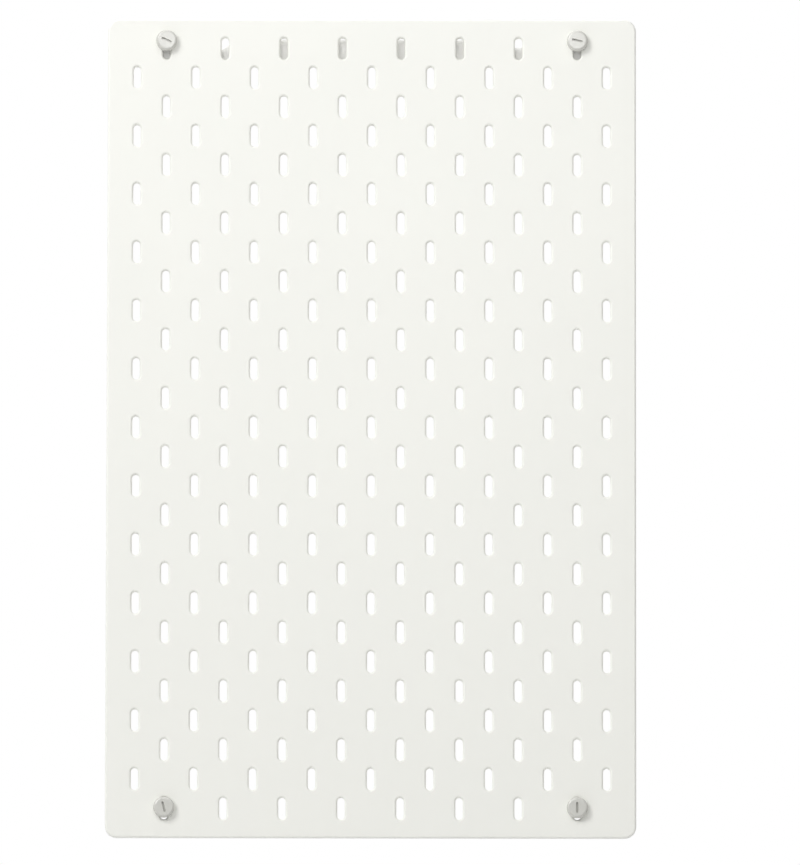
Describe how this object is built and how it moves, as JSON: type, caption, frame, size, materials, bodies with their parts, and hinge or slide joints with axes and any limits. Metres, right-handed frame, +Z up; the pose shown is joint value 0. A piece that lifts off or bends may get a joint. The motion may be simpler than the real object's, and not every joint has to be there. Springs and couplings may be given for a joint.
{
  "type": "wall pegboard",
  "caption": "Upright slotted pegboard with rounded corners that hangs on a wall rail, held by flat round screws, with slim spacers behind its lower corners.",
  "frame": {"origin": "on the wall plane, midway between the rail's two screw sockets and level with them", "axes": "+Z up, +X to the right as seen from the front, +Y into the wall; the board's front faces -Y"},
  "size_m": [0.36, 0.024, 0.56],
  "materials": {
    "painted_board": "white paint, satin",
    "rail_plastic": "moulded, matte",
    "screw_plastic": "moulded, matte"
  },
  "bodies": {
    "rail": {"wall_rail": "rail_plastic"},
    "panel": {"board": "painted_board"},
    "top_left_screw": {"screw_top_left": "screw_plastic"},
    "top_right_screw": {"screw_top_right": "screw_plastic"},
    "bottom_left_screw": {"screw_bottom_left": "screw_plastic"},
    "bottom_right_screw": {"screw_bottom_right": "screw_plastic"},
    "left_post": {"spacer_left": "screw_plastic"},
    "right_post": {"spacer_right": "screw_plastic"}
  },
  "joints": [
    {"name": "board_lift", "type": "slide", "parent": "rail", "child": "panel", "axis": [0, 0, 1], "range_m": [0, 0.01]},
    {"name": "top_left_screw_turn", "type": "hinge", "parent": "rail", "child": "top_left_screw", "pos_m": [-0.14, -0.0165, 0], "axis": [0, -1, 0], "range_deg": [0, 1440]},
    {"name": "top_right_screw_turn", "type": "hinge", "parent": "rail", "child": "top_right_screw", "pos_m": [0.14, -0.0165, 0], "axis": [0, -1, 0], "range_deg": [0, 1440]},
    {"name": "bottom_left_screw_turn", "type": "hinge", "parent": "panel", "child": "bottom_left_screw", "pos_m": [-0.14, -0.0165, -0.5244], "axis": [0, -1, 0], "range_deg": [0, 1440]},
    {"name": "bottom_right_screw_turn", "type": "hinge", "parent": "panel", "child": "bottom_right_screw", "pos_m": [0.14, -0.0165, -0.5244], "axis": [0, -1, 0], "range_deg": [0, 1440]},
    {"name": "left_spacer_travel", "type": "slide", "parent": "panel", "child": "left_post", "axis": [0, 1, 0], "range_m": [0, 0.008]},
    {"name": "right_spacer_travel", "type": "slide", "parent": "panel", "child": "right_post", "axis": [0, 1, 0], "range_m": [0, 0.008]}
  ],
  "couplings": [
    {"joint": "bottom_left_screw_turn", "follows": "left_spacer_travel", "rad_per_m": 3141.6},
    {"joint": "bottom_right_screw_turn", "follows": "right_spacer_travel", "rad_per_m": 3141.6}
  ]
}
